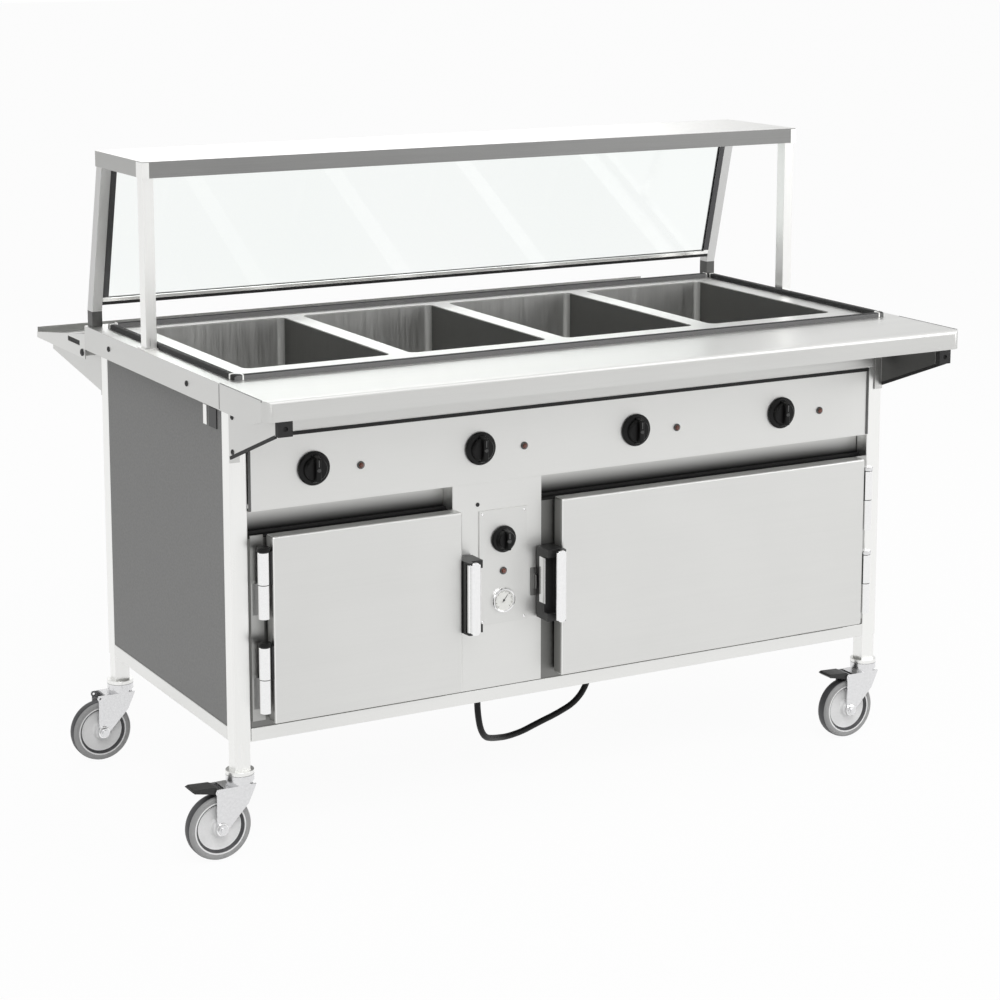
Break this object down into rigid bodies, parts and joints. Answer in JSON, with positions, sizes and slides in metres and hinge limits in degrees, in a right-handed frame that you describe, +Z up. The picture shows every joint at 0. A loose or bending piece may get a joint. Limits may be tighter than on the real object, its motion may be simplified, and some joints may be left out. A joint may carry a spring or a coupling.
{
  "type": "mobile hot food serving counter",
  "caption": "Wheeled steel serving counter with heated wells, hot compartments with doors, glazed overshelf, front work shelf and rear tray slide.",
  "frame": {"origin": "on the floor under the middle of the whole counter's box", "axes": "+X runs right along the counter, -Y is the operator's front with knobs and doors, +Y the customers' side, +Z up"},
  "size_m": [1.604, 1.219, 1.28],
  "materials": {
    "black_paint": "satin black painted metal",
    "black_plastic": "satin black plastic",
    "black_rubber": "matte black rubber",
    "chrome": "polished chrome",
    "dark_panel": "dark grey painted sheet",
    "deck_steel": "brushed stainless steel sheet",
    "device": "dark moulded plastic",
    "dial": "white dial in a bright case",
    "element": "oxidised heating tube",
    "frame_steel": "satin stainless steel tube",
    "glass": "clear tempered glass",
    "glazing": "anodised channel",
    "lens": "amber jewel lens in a bright bezel",
    "liner_steel": "dull stainless steel sheet",
    "panel_steel": "brushed stainless steel sheet",
    "tyre_grey": "grey polyurethane tread on a light core",
    "zinc": "bright zinc plated steel"
  },
  "bodies": {
    "cabinet": {"corner_posts": "frame_steel", "caster_legs": "zinc", "bottom_rails": "frame_steel", "base_floor": "liner_steel", "end_panels": "dark_panel", "rear_panel": "panel_steel", "centre_column": "panel_steel", "left_compartment": "liner_steel", "right_compartment": "liner_steel", "rack_shelves": "liner_steel", "heating_elements": "element", "door_header": "liner_steel", "control_panel": "panel_steel", "front_rail": "deck_steel", "heat_switches": "device", "pilot_lights": "lens", "control_plate": "deck_steel", "thermostat": "device", "thermometer": "dial", "top_deck": "deck_steel", "well_1": "liner_steel", "well_2": "liner_steel", "well_3": "liner_steel", "well_4": "liner_steel", "rim_seal": "black_rubber", "front_shelf": "deck_steel", "front_brackets": "panel_steel", "bracket_bumpers": "black_rubber", "tray_slide": "deck_steel", "rear_brackets": "panel_steel", "overshelf": "deck_steel", "front_uprights": "frame_steel", "rear_uprights": "frame_steel", "glazing_frame": "glazing", "guard_glass": "glass", "frame_hinges": "chrome", "latch_strikes": "chrome", "cord_glands": "black_plastic", "cord": "black_rubber"},
    "left_door": {"left_door": "panel_steel", "left_door_hardware": "black_paint"},
    "right_door": {"right_door": "panel_steel", "right_door_hardware": "black_paint"},
    "left_handle": {"left_handle": "chrome"},
    "right_handle": {"right_handle": "chrome"},
    "knob_1": {"knob_1": "black_plastic"},
    "knob_2": {"knob_2": "black_plastic"},
    "knob_3": {"knob_3": "black_plastic"},
    "knob_4": {"knob_4": "black_plastic"},
    "thermostat_knob": {"thermostat_knob": "black_plastic"},
    "fork_front_left": {"fork_front_left": "zinc"},
    "wheel_front_left": {"wheel_front_left": "tyre_grey"},
    "fork_front_right": {"fork_front_right": "zinc"},
    "wheel_front_right": {"wheel_front_right": "tyre_grey"},
    "fork_rear_left": {"fork_rear_left": "zinc"},
    "wheel_rear_left": {"wheel_rear_left": "tyre_grey"},
    "fork_rear_right": {"fork_rear_right": "zinc"},
    "wheel_rear_right": {"wheel_rear_right": "tyre_grey"},
    "brake_pedal_left": {"brake_pedal_left": "black_paint"},
    "brake_pedal_right": {"brake_pedal_right": "black_paint"}
  },
  "joints": [
    {"name": "left_door_hinge", "type": "hinge", "parent": "cabinet", "child": "left_door", "pos_m": [-0.657, -0.4128, 0.284], "axis": [0, 0, -1], "range_deg": [0, 110]},
    {"name": "right_door_hinge", "type": "hinge", "parent": "cabinet", "child": "right_door", "pos_m": [0.723, -0.4128, 0.284], "axis": [0, 0, 1], "range_deg": [0, 110]},
    {"name": "left_latch", "type": "hinge", "parent": "left_door", "child": "left_handle", "pos_m": [-0.24, -0.4405, 0.38], "axis": [0, 0, -1], "range_deg": [0, 35], "stiffness_Nm_per_rad": 0.6},
    {"name": "right_latch", "type": "hinge", "parent": "right_door", "child": "right_handle", "pos_m": [-0.034, -0.4405, 0.38], "axis": [0, 0, 1], "range_deg": [0, 35], "stiffness_Nm_per_rad": 0.6},
    {"name": "knob_1_turn", "type": "hinge", "parent": "cabinet", "child": "knob_1", "pos_m": [-0.5425, -0.3875, 0.732], "axis": [0, -1, 0], "range_deg": [-300, 0]},
    {"name": "knob_2_turn", "type": "hinge", "parent": "cabinet", "child": "knob_2", "pos_m": [-0.1895, -0.3875, 0.732], "axis": [0, -1, 0], "range_deg": [-300, 0]},
    {"name": "knob_3_turn", "type": "hinge", "parent": "cabinet", "child": "knob_3", "pos_m": [0.1635, -0.3875, 0.732], "axis": [0, -1, 0], "range_deg": [-300, 0]},
    {"name": "knob_4_turn", "type": "hinge", "parent": "cabinet", "child": "knob_4", "pos_m": [0.5165, -0.3875, 0.732], "axis": [0, -1, 0], "range_deg": [-300, 0]},
    {"name": "thermostat_turn", "type": "hinge", "parent": "cabinet", "child": "thermostat_knob", "pos_m": [-0.1395, -0.3895, 0.547], "axis": [0, -1, 0], "range_deg": [-300, 0]},
    {"name": "swivel_front_left", "type": "hinge", "parent": "cabinet", "child": "fork_front_left", "pos_m": [-0.6925, -0.368, 0.16], "axis": [0, 0, 1], "continuous": true},
    {"name": "roll_front_left", "type": "hinge", "parent": "fork_front_left", "child": "wheel_front_left", "pos_m": [-0.7385, -0.368, 0.0635], "axis": [0, 1, 0], "continuous": true},
    {"name": "swivel_front_right", "type": "hinge", "parent": "cabinet", "child": "fork_front_right", "pos_m": [0.7585, -0.368, 0.16], "axis": [0, 0, 1], "continuous": true},
    {"name": "roll_front_right", "type": "hinge", "parent": "fork_front_right", "child": "wheel_front_right", "pos_m": [0.7125, -0.368, 0.0635], "axis": [0, 1, 0], "continuous": true},
    {"name": "swivel_rear_left", "type": "hinge", "parent": "cabinet", "child": "fork_rear_left", "pos_m": [-0.6925, 0.267, 0.16], "axis": [0, 0, 1], "continuous": true},
    {"name": "roll_rear_left", "type": "hinge", "parent": "fork_rear_left", "child": "wheel_rear_left", "pos_m": [-0.7385, 0.267, 0.0635], "axis": [0, 1, 0], "continuous": true},
    {"name": "swivel_rear_right", "type": "hinge", "parent": "cabinet", "child": "fork_rear_right", "pos_m": [0.7585, 0.267, 0.16], "axis": [0, 0, 1], "continuous": true},
    {"name": "roll_rear_right", "type": "hinge", "parent": "fork_rear_right", "child": "wheel_rear_right", "pos_m": [0.7125, 0.267, 0.0635], "axis": [0, 1, 0], "continuous": true},
    {"name": "brake_left", "type": "hinge", "parent": "fork_front_left", "child": "brake_pedal_left", "pos_m": [-0.7445, -0.368, 0.136], "axis": [0, 1, 0], "range_deg": [-8, 0]},
    {"name": "brake_right", "type": "hinge", "parent": "fork_front_right", "child": "brake_pedal_right", "pos_m": [0.7065, -0.368, 0.136], "axis": [0, 1, 0], "range_deg": [-8, 0]}
  ]
}
